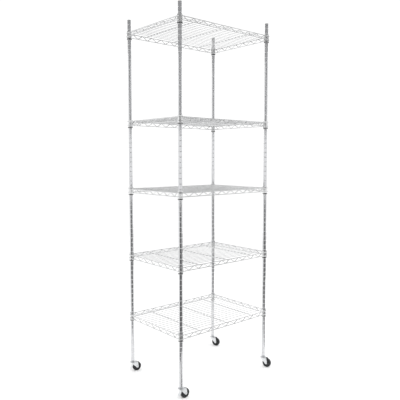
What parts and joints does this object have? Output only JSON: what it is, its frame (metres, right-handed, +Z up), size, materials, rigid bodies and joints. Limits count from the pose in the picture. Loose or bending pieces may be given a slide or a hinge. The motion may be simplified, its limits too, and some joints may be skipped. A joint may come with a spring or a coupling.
{
  "type": "wire shelving rack",
  "caption": "Tall narrow wire shelving rack: open wire shelves clamped to round grooved posts, standing on small swivel casters, the front pair with brake pedals.",
  "frame": {"origin": "centre of the footprint at the floor, measured over the shelves and the casters as they stand", "axes": "+Z up, X along the long side of the shelves, Y along their depth"},
  "size_m": [0.6362, 0.4868, 1.8856],
  "materials": {
    "shelf_wire": "bright plated wire",
    "post": "bright plated tube",
    "post_cap": "moulded grey plastic",
    "sleeve": "moulded black plastic",
    "caster_steel": "bright zinc plated pressed steel",
    "wheel": "satin black solid tread"
  },
  "bodies": {
    "rack": {"shelf_1": "shelf_wire", "shelf_2": "shelf_wire", "shelf_3": "shelf_wire", "shelf_4": "shelf_wire", "shelf_5": "shelf_wire", "post_front_left": "post", "post_cap_front_left": "post_cap", "caster_socket_front_left": "caster_steel", "caster_stem_front_left": "caster_steel", "sleeve_1_front_left": "sleeve", "sleeve_2_front_left": "sleeve", "sleeve_3_front_left": "sleeve", "sleeve_4_front_left": "sleeve", "sleeve_5_front_left": "sleeve", "post_front_right": "post", "post_cap_front_right": "post_cap", "caster_socket_front_right": "caster_steel", "caster_stem_front_right": "caster_steel", "sleeve_1_front_right": "sleeve", "sleeve_2_front_right": "sleeve", "sleeve_3_front_right": "sleeve", "sleeve_4_front_right": "sleeve", "sleeve_5_front_right": "sleeve", "post_back_left": "post", "post_cap_back_left": "post_cap", "caster_socket_back_left": "caster_steel", "caster_stem_back_left": "caster_steel", "sleeve_1_back_left": "sleeve", "sleeve_2_back_left": "sleeve", "sleeve_3_back_left": "sleeve", "sleeve_4_back_left": "sleeve", "sleeve_5_back_left": "sleeve", "post_back_right": "post", "post_cap_back_right": "post_cap", "caster_socket_back_right": "caster_steel", "caster_stem_back_right": "caster_steel", "sleeve_1_back_right": "sleeve", "sleeve_2_back_right": "sleeve", "sleeve_3_back_right": "sleeve", "sleeve_4_back_right": "sleeve", "sleeve_5_back_right": "sleeve"},
    "caster_front_left": {"caster_fork_front_left": "caster_steel", "caster_axle_front_left": "caster_steel", "brake_pin_front_left": "caster_steel"},
    "wheel_front_left": {"caster_wheel_front_left": "wheel"},
    "brake_front_left": {"brake_pedal_front_left": "caster_steel"},
    "caster_front_right": {"caster_fork_front_right": "caster_steel", "caster_axle_front_right": "caster_steel"},
    "wheel_front_right": {"caster_wheel_front_right": "wheel"},
    "caster_back_left": {"caster_fork_back_left": "caster_steel", "caster_axle_back_left": "caster_steel", "brake_pin_back_left": "caster_steel"},
    "wheel_back_left": {"caster_wheel_back_left": "wheel"},
    "brake_back_left": {"brake_pedal_back_left": "caster_steel"},
    "caster_back_right": {"caster_fork_back_right": "caster_steel", "caster_axle_back_right": "caster_steel"},
    "wheel_back_right": {"caster_wheel_back_right": "wheel"}
  },
  "joints": [
    {"name": "swivel_front_left", "type": "hinge", "parent": "rack", "child": "caster_front_left", "pos_m": [-0.3016, -0.19663, 0.0538], "axis": [0, 0, 1], "continuous": true},
    {"name": "wheel_spin_front_left", "type": "hinge", "parent": "caster_front_left", "child": "wheel_front_left", "pos_m": [-0.27881, -0.19743, 0.024], "axis": [0.0349, 0.9994, 0], "continuous": true},
    {"name": "brake_front_left", "type": "hinge", "parent": "caster_front_left", "child": "brake_front_left", "pos_m": [-0.3011, -0.19665, 0.0433], "axis": [-0.0349, -0.9994, 0], "range_deg": [0, 6]},
    {"name": "swivel_front_right", "type": "hinge", "parent": "rack", "child": "caster_front_right", "pos_m": [0.2929, -0.19663, 0.0538], "axis": [0, 0, 1], "continuous": true},
    {"name": "wheel_spin_front_right", "type": "hinge", "parent": "caster_front_right", "child": "wheel_front_right", "pos_m": [0.2988, -0.21865, 0.024], "axis": [0.9659, 0.2588, 0], "continuous": true},
    {"name": "swivel_back_left", "type": "hinge", "parent": "rack", "child": "caster_back_left", "pos_m": [-0.3016, 0.22587, 0.0538], "axis": [0, 0, 1], "continuous": true},
    {"name": "wheel_spin_back_left", "type": "hinge", "parent": "caster_back_left", "child": "wheel_back_left", "pos_m": [-0.27902, 0.2227, 0.024], "axis": [0.1392, 0.9903, 0], "continuous": true},
    {"name": "brake_back_left", "type": "hinge", "parent": "caster_back_left", "child": "brake_back_left", "pos_m": [-0.30111, 0.2258, 0.0433], "axis": [-0.1392, -0.9903, 0], "range_deg": [0, 6]},
    {"name": "swivel_back_right", "type": "hinge", "parent": "rack", "child": "caster_back_right", "pos_m": [0.2929, 0.22587, 0.0538], "axis": [0, 0, 1], "continuous": true},
    {"name": "wheel_spin_back_right", "type": "hinge", "parent": "caster_back_right", "child": "wheel_back_right", "pos_m": [0.30181, 0.20488, 0.024], "axis": [0.9205, 0.3907, 0], "continuous": true}
  ]
}
